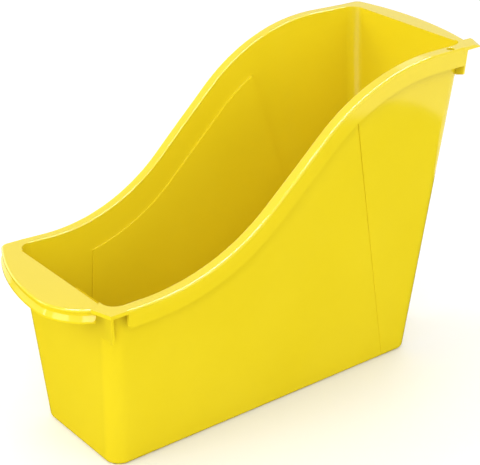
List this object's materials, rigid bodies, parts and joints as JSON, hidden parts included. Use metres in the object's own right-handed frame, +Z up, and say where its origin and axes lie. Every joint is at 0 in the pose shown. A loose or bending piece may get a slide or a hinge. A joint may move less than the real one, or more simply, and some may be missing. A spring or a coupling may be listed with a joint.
{
  "type": "book and magazine bin",
  "caption": "Open-topped plastic bin for books and papers, with a tall back, a low front with a curved grip lip, an S-curved rim, and raised corner tabs on one side for joining bins side by side.",
  "frame": {"origin": "middle of the flat underside, on the surface the bin stands on", "axes": "+Z up, +Y towards the tall back, -Y towards the low front lip, +X towards the side with the joining tabs"},
  "size_m": [0.1487, 0.3595, 0.2598],
  "materials": {
    "yellow_plastic": "smooth glossy injection-moulded plastic, one bright yellow throughout"
  },
  "bodies": {
    "root": {"floor": "yellow_plastic", "front_wall": "yellow_plastic", "rear_wall": "yellow_plastic", "left_wall": "yellow_plastic", "right_wall": "yellow_plastic", "left_rim": "yellow_plastic", "right_rim": "yellow_plastic", "right_rim_peg_plate": "yellow_plastic", "left_rim_skirt": "yellow_plastic", "right_rim_skirt": "yellow_plastic", "front_grip_lip": "yellow_plastic", "front_grip_skirt": "yellow_plastic", "rear_lip": "yellow_plastic", "rear_lip_skirt": "yellow_plastic", "front_corner_tab": "yellow_plastic", "rear_corner_tab": "yellow_plastic", "front_corner_web": "yellow_plastic", "rear_corner_web": "yellow_plastic"}
  },
  "joints": []
}
